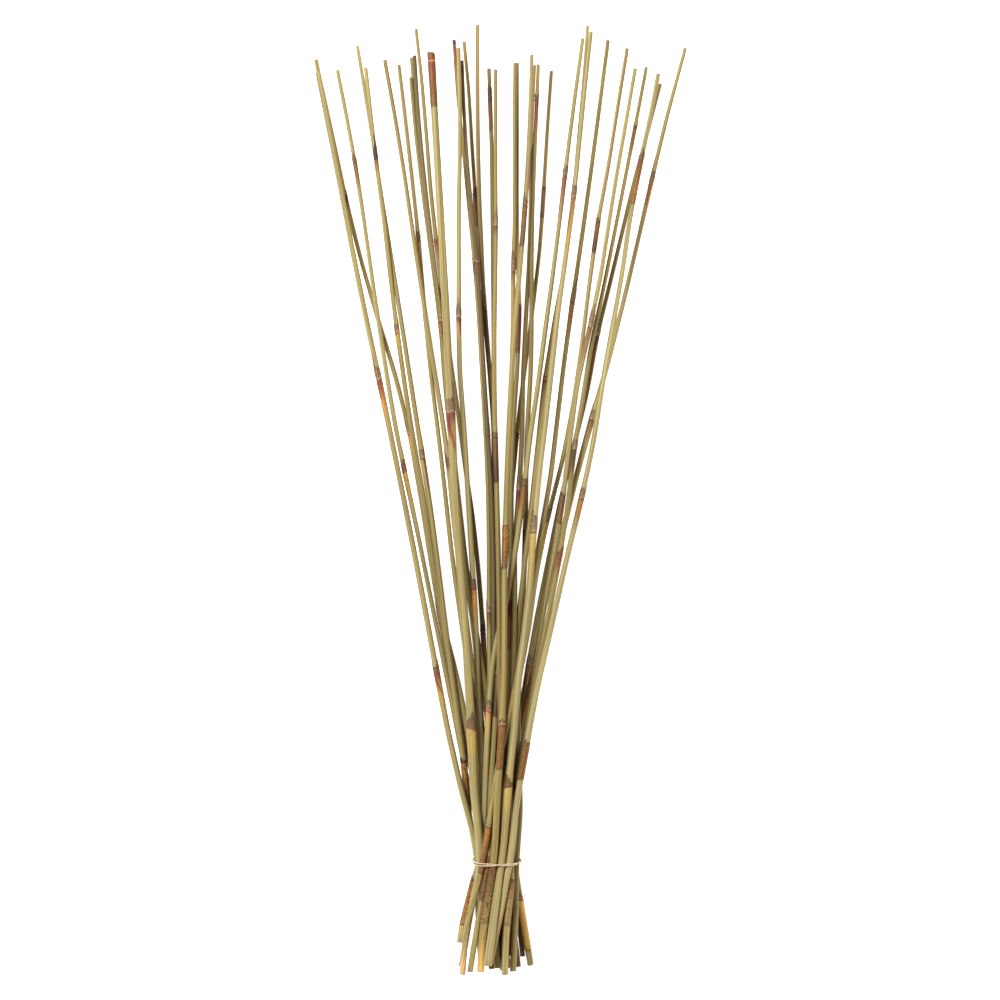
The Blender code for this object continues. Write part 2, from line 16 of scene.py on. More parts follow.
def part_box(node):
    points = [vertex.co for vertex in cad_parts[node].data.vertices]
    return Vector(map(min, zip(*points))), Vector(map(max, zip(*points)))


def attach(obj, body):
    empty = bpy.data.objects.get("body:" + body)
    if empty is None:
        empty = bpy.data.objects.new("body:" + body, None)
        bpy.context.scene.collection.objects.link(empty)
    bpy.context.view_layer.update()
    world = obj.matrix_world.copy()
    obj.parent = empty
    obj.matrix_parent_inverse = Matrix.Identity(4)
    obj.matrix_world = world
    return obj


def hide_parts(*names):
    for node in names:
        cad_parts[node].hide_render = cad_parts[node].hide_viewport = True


MM = 0.001
SEED = 35

# Reading the solids: the spacing of the cuts across a reed, the stretch without cuts at its ends, over how
# many cuts its centre and its radius are smoothed, and how many times that far the smoothing reaches
CUT_SPACING = 4.0 * MM
END_MARGIN = 2.0 * MM
CENTRE_SMOOTHING = 3.0
RADIUS_SMOOTHING = 0.6
SMOOTHING_REACH = 3

# In mm along the bunch: from the tables' zero to the strands, and from there to the middle of the solid
# tie's box
TIE_PLACE = 2.4
TIE_BOX_SHIFT = 0.8

# A reed's mesh, in mm: the spacing of its rings, and how far the closer ones reach below a joint's line,
# above its sheath and past its band's foot. SPIKE_REACH counts heights of the sheath, and MARK_REACH half
# lengths of the mark
SIDES = 18
RING_SPACING = 7.0
FINE_SPACING = 0.75
STREAK_SPACING = 1.5
LEAST_SPACING = 0.4
LINE_REACH = 3.0
SHEATH_REACH = 2.0
FOOT_REACH = 2.0
SPIKE_REACH = 1.35
MARK_REACH = 1.5
MARK_RINGS = 7

# Flutes round a reed, as their number, depth and shift from reed to reed, and swellings along it, as the
# length of one radian of their wave in mm, their height and their shift. Depths and heights are shares of
# the radius
FLUTES = ((3, 0.014, 1), (5, 0.010, 2))
SWELLINGS = ((37.0, 0.012, 1), (13.0, 0.008, 3))

# A joint, in mm: the line round the reed, the ridge under it, the sheath's remnant above it with its brown
# upper edge and its pale rim, and the band below it
LEAN = 0.9
LINE_WIDTH = 0.9
LINE_DEPTH = 0.14
RIDGE_PLACE = 1.76
RIDGE_WIDTH = 1.1
RIDGE_HEIGHT = 0.18
COVER_THICKNESS = 0.22
COVER_EDGE = 0.8
BROWN_EDGE = 2.5
BROWN_FADE = 2.0
RIM_PLACE = 1.9
RIM_WIDTH = 0.8
BAND_THICKNESS = 0.14

# How high the remnant goes on each side, as shares of the joint's own sheath: its body, slant, wave and
# teeth, and its spike, whose width is in radians
COVER_BODY = 0.80
COVER_SLANT = 0.24
COVER_WAVE = 0.14
COVER_TEETH = 0.10
COVER_SPIKE = 0.75
SPIKE_WIDTH = 0.42

# The band: the share of its length in which a sharp or a soft foot ends, and how fast the upper colour
# turns into the lower one, in tongues that differ by a wave and by chance
SHARP_FOOT = 0.03
SOFT_FOOT = 0.65
BAND_CHANGE = 1.3
TONGUE_RISE = 3.0
TONGUE_WAVE = 0.30
TONGUE_TEETH = 0.18

# A streak: its half width at the line in radians, the share of it that narrows away, and the share of its
# length that keeps its full colour
STREAK_WIDTH = 0.7
STREAK_TAPER = 0.7
STREAK_FULL = 0.7

# How much each colour hides of what lies under it. A mark's share is multiplied by its gain first, so that
# its middle is even
BAND_STRENGTH = 0.9
STREAK_STRENGTH = 0.85
COVER_STRENGTH = 0.92
BROWN_STRENGTH = 0.7
RIM_STRENGTH = 0.75
LINE_STRENGTH = 0.92
FOOT_STRENGTH = 0.8
MARK_STRENGTH = 0.9
MARK_GAIN = 1.3

# How light a reed's stripes and a remnant's are, at random between two shares, how a remnant darkens from
# its foot to its top, and which covers have a pale rim
STRIPE_LIGHT = (0.86, 1.10)
STRIPE_STOPS = 9
COVER_LIGHT = (0.5, 1.25)
COVER_FOOT_LIGHT = 1.25
COVER_FADE = 0.55
COVER_MOTTLE = 0.6
PALE_RIMMED = ("grey", "rust", "pale pink")

# The cut ends: distance from the axis as a share of the radius, depth below the rim in mm and colour, and
# how far the cut leans, in mm
CUT_PROFILE = ((0.97, -0.12, "cut"), (0.93, 0.0, "cut"), (0.66, 0.02, "cut"),
               (0.58, 0.7, "pith"), (0.22, 0.8, "pith"))
CUT_TILT = 0.25

# The noise on a reed's fibres: the length of its unit along the reed in mm, its shift from reed to reed,
# and how fast the fibres turn round the stem, in radians for each mm
FIBRE_LENGTH = 200.0
FIBRE_SHIFT = 3.7
COMMON_TWIST = 0.0012
TWISTS = {"reed_29": 0.055}

COLOURS = {
    "straw": "A3925C",
    "pale straw": "AB9C6A",
    "gold": "BC9746",
    "yellow": "C0A156",
    "olive": "968249",
    "deep olive": "7D6938",
    "grey green": "948955",
    "umber": "675532",
    "tan": "9A7E4A",
    "orange": "A66C24",
    "bright orange": "CC8B3C",
    "rust": "885820",
    "red": "8A4229",
    "brown": "765024",
    "dark brown": "472E1C",
    "purple": "5A2430",
    "wine": "74202A",
    "black brown": "30211A",
    "grey": "8E6E4E",
    "grey brown": "785A3E",
    "crimson": "9C4434",
    "pale pink": "C29C70",
    "cut": "C7B27C",
    "amber": "E0B468",
    "pale olive": "A5965F",
    "pith": "DACBA0",
    "peach": "D9A676",
}

Streak = namedtuple("Streak", "colour side length drift")
Joint = namedtuple("Joint", "y sheath band cover line upper lower foot mottle streak lean",
                   defaults=(False, 0.4, None, None))
Mark = namedtuple("Mark", "y side half_length half_width colour height")
Noise = namedtuple("Noise", "round along detail")
Light = namedtuple("Light", "place power size colour")

# y is the line round the reed. sheath is how far the sheath's remnant goes up from it, and band how far the
# coloured band goes down. cover, line, upper and lower are colours. foot says that the band ends in a sharp
# edge. mottle is how spotted the band is. streak is a dark stripe that runs down from the line. Its side is
# in degrees, from 0 on the right over 90 on top, and it drifts by some degrees along its length. lean is
# how far the line falls to the right of the axis, and without it the line leans a little to a side of its
# own.
JOINTS = {
    "reed_01": (Joint(482, 14, 48, "grey", "wine", "red", "bright orange", False, 0.3,
                      Streak("wine", 150, 22, -40)),
                Joint(191, 11, 46, "grey brown", "wine", "red", "gold", False, 0.3,
                      Streak("wine", 160, 24, -110))),
    "reed_02": (Joint(660, 12, 12, "black brown", "black brown", "brown", "olive"),
                Joint(427, 13, 30, "grey", "wine", "bright orange", "gold"),
                Joint(240, 22, 20, "grey", "wine", "orange", "straw")),
    "reed_03": (Joint(699, 6, 34, "brown", "black brown", "rust", "gold", False, 0.6),
                Joint(388, 17, 34, "red", "yellow", "gold", "gold")),
    "reed_04": (Joint(402, 15, 34, "grey", "purple", "yellow", "straw", False, 0.3,
                      Streak("purple", 60, 36, -10)),
                Joint(99, 8, 42, "black brown", "black brown", "orange", "brown", True, 0.8)),
    "reed_05": (Joint(701, 15, 26, "black brown", "wine", "rust", "gold"),
                Joint(528, 15, 60, "grey", "red", "gold", "olive", False, 0.3, None, -1.6)),
    "reed_06": (Joint(397, 15, 12, "brown", "black brown", "brown", "olive"),
                Joint(163, 22, 20, "brown", "black brown", "brown", "deep olive")),
    "reed_07": (Joint(622, 12, 20, "brown", "black brown", "orange", "olive"),
                Joint(543, 16, 16, "dark brown", "black brown", "brown", "olive")),
    "reed_08": (Joint(539, 5, 44, "pale pink", "black brown", "orange", "olive", False, 0.6,
                      Streak("black brown", 60, 30, 0)),
                Joint(-38, 10, 50, "rust", "wine", "amber", "gold", True, 0.1)),
    "reed_09": (Joint(450, 8, 20, "grey", "dark brown", "brown", "umber"),
                Joint(150, 8, 20, "grey", "dark brown", "brown", "umber")),
    "reed_10": (Joint(495, 8, 20, "grey", "dark brown", "brown", "olive"),
                Joint(205, 8, 20, "grey", "dark brown", "rust", "olive")),
    "reed_11": (Joint(617, 8, 16, "red", "wine", "rust", "olive"),
                Joint(562, 20, 14, "dark brown", "black brown", "brown", "umber"),
                Joint(230, 8, 26, "dark brown", "wine", "wine", "brown"),
                Joint(-72, 3, 33, "black brown", "black brown", "orange", "rust", False, 0.8)),
    "reed_12": (Joint(798, 10, 45, "red", "pale pink", "crimson", "rust", True, 0.7),
                Joint(449, 18, 38, "grey", "wine", "wine", "gold", False, 0.2,
                      Streak("wine", 170, 44, -150)),
                Joint(134, 11, 44, "grey brown", "crimson", "yellow", "straw", False, 0.2, None, 1.6)),
    "reed_13": (Joint(816, 6, 32, "dark brown", "wine", "crimson", "rust", False, 0.5),
                Joint(600, 7, 20, "grey", "purple", "purple", "brown"),
                Joint(250, 12, 20, "grey", "dark brown", "brown", "olive")),
    "reed_14": (Joint(544, 11, 22, "grey", "wine", "wine", "gold", False, 0.2, Streak("wine", 60, 20, -10)),
                Joint(272, 12, 45, "grey brown", "wine", "bright orange", "gold", False, 0.3,
                      Streak("wine", 130, 18, 40))),
    "reed_15": (Joint(791, 8, 20, "dark brown", "black brown", "dark brown", "brown"),
                Joint(598, 8, 20, "grey", "dark brown", "brown", "umber"),
                Joint(425, 10, 20, "grey brown", "dark brown", "brown", "umber")),
    "reed_16": (Joint(670, 4, 33, "dark brown", "black brown", "dark brown", "brown", True, 0.8),
                Joint(360, 10, 20, "grey brown", "dark brown", "brown", "umber")),
    "reed_17": (Joint(554, 12, 60, "grey brown", "black brown", "dark brown", "brown", True, 0.9),
                Joint(215, 8, 20, "grey brown", "dark brown", "brown", "umber")),
    "reed_18": (Joint(765, 9, 34, "dark brown", "black brown", "dark brown", "brown", True, 0.8),
                Joint(300, 8, 20, "grey brown", "dark brown", "brown", "umber"),
                Joint(-58, 3, 48, "brown", "black brown", "brown", "rust", True, 0.9)),
    "reed_19": (Joint(635, 12, 14, "grey", "dark brown", "brown", "olive"),
                Joint(425, 6, 45, "brown", "black brown", "brown", "dark brown", True, 0.9)),
    "reed_20": (Joint(590, 20, 14, "grey brown", "dark brown", "brown", "olive"),
                Joint(290, 8, 20, "grey", "dark brown", "brown", "olive")),
    "reed_21": (Joint(555, 4, 45, "purple", "purple", "purple", "brown", True, 0.6),
                Joint(259, 4, 45, "wine", "wine", "red", "rust", True, 0.6),
                Joint(-58, 12, 48, "dark brown", "black brown", "orange", "rust", False, 0.8)),
    "reed_22": (Joint(655, 8, 40, "brown", "black brown", "rust", "brown", True, 0.9),
                Joint(336, 4, 42, "pale pink", "black brown", "orange", "rust", True, 1.0),
                Joint(137, 10, 43, "grey", "dark brown", "rust", "rust", True, 0.8),
                Joint(-2, 2, 55, "brown", "dark brown", "brown", "tan", True, 0.9)),
    "reed_23": (Joint(702, 15, 40, "dark brown", "black brown", "purple", "brown"),
                Joint(371, 14, 20, "grey", "wine", "wine", "olive"),
                Joint(-18, 5, 43, "brown", "dark brown", "rust", "tan", True, 0.6)),
    "reed_24": (Joint(762, 6, 48, "grey brown", "black brown", "wine", "red", False, 0.3),
                Joint(327, 6, 20, "purple", "purple", "brown", "olive")),
    "reed_25": (Joint(672, 4, 28, "grey brown", "dark brown", "grey", "grey brown", True, 0.5),
                Joint(427, 4, 34, "brown", "black brown", "brown", "rust", True, 0.7),
                Joint(185, 3, 39, "dark brown", "black brown", "brown", "dark brown", True, 0.5),
                Joint(9, 4, 44, "pale pink", "dark brown", "rust", "brown", True, 0.8)),
    "reed_26": (Joint(684, 15, 56, "grey", "wine", "red", "tan", False, 0.3, Streak("wine", 150, 50, 10)),
                Joint(375, 12, 40, "grey brown", "dark brown", "brown", "orange"),
                Joint(151, 15, 34, "grey", "crimson", "bright orange", "yellow", False, 0.2, None, 1.2)),
    "reed_27": (Joint(480, 8, 20, "grey", "dark brown", "brown", "olive"),
                Joint(135, 12, 22, "grey", "wine", "rust", "tan")),
    "reed_28": (Joint(662, 15, 75, "grey", "wine", "yellow", "gold", False, 0.3,
                      Streak("wine", 95, 42, 45), -1.8),
                Joint(330, 18, 100, "grey", "dark brown", "yellow", "pale straw", False, 0.2),
                Joint(77, 14, 44, "brown", "wine", "yellow", "straw", False, 0.15)),
    "reed_29": (Joint(558, 17, 42, "grey brown", "dark brown", "rust", "orange"),
                Joint(37, 7, 45, "grey", "dark brown", "orange", "rust", True, 0.6)),
    "reed_30": (Joint(640, 6, 30, "brown", "black brown", "rust", "dark brown", True, 0.8),
                Joint(341, 14, 80, "grey brown", "wine", "gold", "straw", False, 0.2)),
    "reed_31": (Joint(534, 16, 50, "grey", "dark brown", "rust", "tan"),
                Joint(366, 5, 27, "brown", "black brown", "brown", "rust", True, 0.8),
                Joint(165, 13, 38, "grey", "wine", "orange", "tan", True, 0.6)),
    "reed_32": (Joint(733, 7, 30, "dark brown", "wine", "rust", "brown"),
                Joint(411, 15, 35, "grey", "black brown", "dark brown", "brown"),
                Joint(304, 15, 20, "red", "wine", "red", "olive"),
                Joint(75, 5, 14, "brown", "wine", "rust", "olive")),
    "reed_33": (Joint(525, 14, 50, "grey", "black brown", "dark brown", "brown"),
                Joint(195, 15, 35, "grey brown", "dark brown", "rust", "tan")),
    "reed_34": (Joint(700, 8, 42, "brown", "wine", "rust", "orange", True, 0.9),
                Joint(363, 16, 38, "grey", "dark brown", "orange", "tan"),
                Joint(117, 5, 33, "brown", "dark brown", "rust", "rust", True, 0.8)),
    "reed_35": (Joint(679, 14, 34, "grey brown", "crimson", "orange", "gold", False, 0.4,
                      Streak("red", 120, 26, -50)),
                Joint(441, 12, 25, "grey", "dark brown", "brown", "tan"),
                Joint(-18, 5, 43, "brown", "dark brown", "rust", "orange", True, 0.75),
                Joint(-63, 3, 17, "rust", "dark brown", "yellow", "straw", False, 0.3)),
}

# The colour of each reed at its tip, halfway, at the tie and at its butt. Partly each reed's own colour and
# partly
# painted shade: the reeds that lie deep in the bunch have darker colours, for the shade that falls between
# the reeds
BODY_AND_SHADE_COLOURS = {
    "reed_01": ("straw", "straw", "straw", "straw"),
    "reed_02": ("olive", "olive", "deep olive", "umber"),
    "reed_03": ("straw", "straw", "olive", "olive"),
    "reed_04": ("straw", "olive", "olive", "deep olive"),
    "reed_05": ("straw", "olive", "deep olive", "umber"),
    "reed_06": ("tan", "straw", "olive", "deep olive"),
    "reed_07": ("olive", "olive", "olive", "umber"),
    "reed_08": ("umber", "olive", "olive", "grey green"),
    "reed_09": ("olive", "deep olive", "umber", "umber"),
    "reed_10": ("olive", "olive", "deep olive", "umber"),
    "reed_11": ("olive", "deep olive", "deep olive", "umber"),
    "reed_12": ("straw", "straw", "straw", "straw"),
    "reed_13": ("tan", "olive", "olive", "deep olive"),
    "reed_14": ("straw", "straw", "straw", "olive"),
    "reed_15": ("umber", "umber", "umber", "brown"),
    "reed_16": ("tan", "deep olive", "umber", "umber"),
    "reed_17": ("tan", "umber", "umber", "umber"),
    "reed_18": ("deep olive", "umber", "umber", "brown"),
    "reed_19": ("olive", "olive", "deep olive", "deep olive"),
    "reed_20": ("olive", "olive", "deep olive", "umber"),
    "reed_21": ("olive", "olive", "olive", "olive"),
    "reed_22": ("straw", "olive", "olive", "olive"),
    "reed_23": ("tan", "deep olive", "olive", "straw"),
    "reed_24": ("olive", "deep olive", "grey green", "pale olive"),
    "reed_25": ("tan", "olive", "olive", "straw"),
    "reed_26": ("straw", "straw", "straw", "olive"),
    "reed_27": ("straw", "olive", "deep olive", "umber"),
    "reed_28": ("straw", "pale straw", "straw", "pale straw"),
    "reed_29": ("olive", "olive", "olive", "straw"),
    "reed_30": ("tan", "straw", "olive", "deep olive"),
    "reed_31": ("straw", "straw", "straw", "olive"),
    "reed_32": ("olive", "olive", "deep olive", "umber"),
    "reed_33": ("deep olive", "umber", "olive", "deep olive"),
    "reed_34": ("straw", "pale straw", "pale straw", "pale straw"),
    "reed_35": ("olive", "straw", "olive", "pale straw"),
}

# Small marks: height is how far they stand out, or sink in below 0, and side is in degrees
MARKS = {
    "reed_03": (Mark(-88, 90, 12.0, 20.0, "bright orange", 0.0),),
    "reed_12": (Mark(105, 70, 0.6, 0.5, "tan", 0.0),
                Mark(92, 110, 0.7, 0.4, "tan", 0.0),
                Mark(60, 75, 0.6, 0.5, "tan", 0.0)),
    "reed_22": (Mark(-40, 80, 1.1, 0.8, "black brown", -0.2),
                Mark(-72, 85, 1.0, 0.7, "dark brown", -0.2),
                Mark(-31, 100, 0.7, 0.6, "black brown", 0.0),
                Mark(-104, 90, 25.0, 20.0, "amber", 0.0)),
    "reed_23": (Mark(-70, 110, 9.0, 0.4, "rust", 0.0),),
    "reed_24": (Mark(-45, 88, 7.0, 0.7, "rust", -0.1),),
    "reed_25": (Mark(11, 85, 2.2, 2.0, "pale pink", 0.7),
                Mark(11, 85, 0.8, 0.7, "black brown", -0.3),
                Mark(-16, 80, 0.9, 0.7, "black brown", 0.0)),
    "reed_26": (Mark(-103, 90, 14.0, 20.0, "rust", 0.0),
                Mark(95, 90, 9.0, 3.0, "tan", 0.0)),
    "reed_29": (Mark(-107, 90, 15.0, 20.0, "peach", 0.0),),
}

# Painted shade along the bunch: how light the reeds are, as y in mm and a share of the tables' colours. They
# are darker in the dense part of the bunch near the tie, where shade falls between the reeds
PAINTED_SHADE_ALONG = ((-110, 1.06), (-10, 0.99), (60, 0.90), (300, 0.91), (450, 0.94), (600, 0.99), (850, 1.0))

# The reeds' three surfaces, as the contrast of their fibres and their roughness, and the reeds that have
# the second and the third
SURFACES = {"reed_straw": (0.38, 0.46), "reed_olive": (0.42, 0.50), "reed_umber": (0.46, 0.54)}
OLIVE_REEDS = ("reed_02", "reed_05", "reed_06", "reed_09", "reed_10", "reed_13", "reed_19", "reed_20",
               "reed_21", "reed_23", "reed_24", "reed_25", "reed_27", "reed_29", "reed_30", "reed_32")
DARK_REEDS = ("reed_08", "reed_11", "reed_15", "reed_16", "reed_17", "reed_18", "reed_33")

# The noises on the fibres, as their scale round and along the stem and their detail, and the two values
# that most of a noise lies between
FINE_NOISE = Noise(5.0, 1.4, 5.0)
BROAD_NOISE = Noise(1.6, 1.4, 3.0)
GRAIN_NOISE = Noise(3.0, 60.0, 2.0)
SPOT_NOISE = Noise(2.6, 110.0, 2.0)
PLY_NOISE = Noise(3.0, 2.0, 3.0)
FUZZ_NOISE = Noise(9.0, 14.0, 2.0)
NOISE_ROUGHNESS = 0.6
NOISE_RANGE = (0.3, 0.7)

# What the noises do on a reed: the part of each that is used, and how light, weathered, spotted, rough and
# uneven it makes the reed
FIBRE_PART = (0.38, 0.62)
FIBRE_LIGHTER = 0.8
CLOUD_LIGHT = (0.86, 1.12)
WEATHER_PART = (0.32, 0.55)
WEATHER_SHARE = (0.22, 0.0)
WEATHER_COLOUR = (0.25, 0.22, 0.13, 1.0)
SPOT_PART = (0.49, 0.57)
SPOT_SHARE = (0.0, 0.95)
SPOT_COLOUR = (0.095, 0.042, 0.012, 1.0)
ROUGHER = (-0.08, 0.14)
REED_SPECULAR = 0.28
REED_GRAIN = 0.25
REED_BUMP = 0.35
REED_BUMP_HEIGHT = 0.4 * MM

# The tie, in mm: two thin strands side by side that change places now and then, one over the other, and lie
# a little further apart on the left. OVER_HEIGHT is a share of the radius, and TINY keeps a direction from
# having no length
STRAND_RADIUS = 0.68
STRAND_APART = 0.66
STRAND_CHANGES = 3
CHANGE_SHARPNESS = 2.5
OVER_HEIGHT = 0.9
OVER_WIDTH = 0.45
LOOSE_ANGLE = math.radians(150.0)
LOOSE_WIDTH = 0.7
LOOSE_EXTRA = 0.8
STRAND_STEPS = 240
STRAND_SIDES = 10
STRAND_TWIST = 1.1
STRAND_FIBRE_LENGTH = 12.0
TIE_TILT = 2.6
TINY = 1e-6

# The knot on the hidden side: where it is, the size of its loop, how far out it lies, and its two cut tails
KNOT_ANGLE = math.radians(-62.0)
KNOT_SIZE = 0.9775
KNOT_OUT = 0.9
KNOT_STRAND = 0.95
KNOT_STEPS = 72
TAIL_LENGTH = 11.0
TAIL_STEPS = 14
TAIL_TURN = 0.8 * math.pi
TAIL_BOW = 1.4
TAIL_SPREAD = 2.0
TAIL_TAPER = 0.25

# The twine
TWINE_DARK = (0.42, 0.28, 0.17, 1.0)
TWINE_LIGHT = (0.68, 0.54, 0.39, 1.0)
TWINE_ROUGHNESS = (0.70, 0.92)
TWINE_SHEEN = 0.2
TWINE_FUZZ = 0.4
TWINE_BUMP = 0.6
TWINE_BUMP_HEIGHT = 0.3 * MM

# Faces that meet at a sharper angle than this are shaded with an edge between them
SHARP_ANGLE = math.radians(55)

# The view and the light, in metres and watts
CAMERA_HEIGHT = 6.0
SENSOR = 36.0
SEEN_WIDTH = 0.996
SEEN_HEIGHT = 0.03
VIEW_CENTRE = (-0.0003, -0.0015)
WHITE = (1.0, 1.0, 1.0, 1.0)
WORLD_STRENGTH = 0.32
LIGHTS = {
    "key": Light((-1.4, 0.9, 2.6), 120.0, 1.2, (0.98, 1.0, 0.99)),
    "warm fill": Light((2.2, -0.4, 1.6), 26.0, 1.4, (1.0, 0.78, 0.50)),
}
FLOOR_SIZE = 30.0
FLOOR_TONES = ((0.93, 0.93, 0.93, 1.0), (0.95, 0.95, 0.95, 1.0))
FLOOR_PATCHES = 6.0
FLOOR_DETAIL = 2.0
FLOOR_ROUGHNESS = 0.9
FLOOR_SPECULAR = 0.1
FLOOR_GLOW = 0.86


def linear(name):
    """The named colour in linear light, by the standard curve of screens."""
    code = COLOURS[name]
    shown = np.array([int(code[i:i + 2], 16) for i in (0, 2, 4)]) / 255.0
    return np.where(shown <= 0.04045, shown / 12.92, ((shown + 0.055) / 1.055) ** 2.4)


def eased(share):
    """0 below 0, 1 above 1, and a smooth step between."""
    share = np.clip(share, 0.0, 1.0)
    return share * share * (3.0 - 2.0 * share)


def peak(distance):
    """1 where the distance is 0, and smoothly down towards 0 over a distance of about 1 each way."""
    return np.exp(-(distance ** 2))


def turned(angle):
    """The same direction as an angle between minus and plus half a turn."""
    return np.angle(np.exp(1j * angle))


def unit(vectors):
    """The rows of vectors brought to the length 1."""
    return vectors / np.linalg.norm(vectors, axis=1)[:, None]


def mixed(colour, other, share):
    """The points' colours with a share of the other one in each."""
    return colour + (other - colour) * share[..., None]


def smoothed(values, width):
    """The row of values smoothed over that many places, with the slope at its two ends kept."""
    reach = max(1, math.ceil(SMOOTHING_REACH * width))
    weight = np.exp(-0.5 * (np.arange(-reach, reach + 1) / width) ** 2)
    padded = np.pad(values, reach, mode="reflect", reflect_type="odd")
    return np.convolve(padded, weight / weight.sum(), mode="valid")


def spine(node):
    """The y of cuts across a reed's solid from butt to tip, with its centre's x and z and its radius."""
    solid = node.data
    points = np.array([vertex.co for vertex in solid.vertices])
    ends = np.array([edge.vertices for edge in solid.edges])
    start = points[ends[:, 0]]
    run = points[ends[:, 1]] - start
    low = points[:, 1].min()
    high = points[:, 1].max()
    at = np.linspace(low + END_MARGIN, high - END_MARGIN, round((high - low) / CUT_SPACING))
    lowest = []
    highest = []
    for y in at:
        share = (y - start[:, 1]) / np.where(run[:, 1] == 0.0, np.inf, run[:, 1])
        crossed = (share > 0.0) & (share < 1.0)
        cut = start[crossed] + run[crossed] * share[crossed, None]
        lowest.append(cut.min(0))
        highest.append(cut.max(0))
    middle = (np.array(lowest) + np.array(highest)) / 2
    x = smoothed(middle[:, 0], CENTRE_SMOOTHING)
    z = smoothed(middle[:, 2], CENTRE_SMOOTHING)
    width = (np.array(highest) - np.array(lowest))[:, 0]
    radius = width / 2 / np.sqrt(1.0 + np.gradient(x, at)**2)
    return at, x, z, smoothed(radius, RADIUS_SMOOTHING)


def ring_places(name, low, high):
    """The y of each ring in mm: evenly spaced, and closer at joints, streaks, marks and the bands' feet."""
    at = list(np.arange(low, high, RING_SPACING)) + [high]
    for joint in JOINTS[name]:
        above = joint.y + joint.sheath * SPIKE_REACH + SHEATH_REACH
        at.extend(np.arange(joint.y - LINE_REACH, above, FINE_SPACING))
        if joint.foot:
            foot = joint.y - joint.band
            at.extend(np.arange(foot - FOOT_REACH, foot + FOOT_REACH, FINE_SPACING))
        if joint.streak:
            at.extend(np.arange(joint.y - joint.streak.length, joint.y, STREAK_SPACING))
    for mark in MARKS.get(name, ()):
        reach = MARK_REACH * mark.half_length
        at.extend(np.linspace(mark.y - reach, mark.y + reach, MARK_RINGS))
    kept = [low]
    for y in sorted(at):
        if kept[-1] + LEAST_SPACING < y <= high - LEAST_SPACING:
            kept.append(y)
    return np.array(kept + [high])


def body_colour(body, at, turn, chance):
    """A reed's colour along its length, its own colour and partly painted shade, in lengthwise stripes that
    are a little lighter and darker.
    """
    stops = (at[0], 0.0, at[-1] / 2, at[-1])
    ends = np.array([linear(name) for name in body[::-1]])
    colour = np.stack([np.interp(at, stops, ends[:, k]) for k in range(3)], 1)
    places = np.linspace(at[0], at[-1], STRIPE_STOPS)
    stripes = [np.interp(at, places, chance.uniform(*STRIPE_LIGHT, STRIPE_STOPS)) for _ in turn]
    return colour[:, None] * np.stack(stripes, 1)[..., None]


def streaked(colour, streak, down, turn):
    """The colour under a joint with its streak, which narrows and drifts round the stem on its way down."""
    share = down / streak.length
    away = turned(turn - np.radians(streak.side + streak.drift * share))
    width = STREAK_WIDTH * (1.0 - STREAK_TAPER * np.clip(share, 0.0, 1.0))
    fading = 1.0 - eased((share - STREAK_FULL) / (1.0 - STREAK_FULL))
    shown = peak(away / width) * eased(down / LINE_WIDTH) * fading
    return mixed(colour, linear(streak.colour), STREAK_STRENGTH * shown)


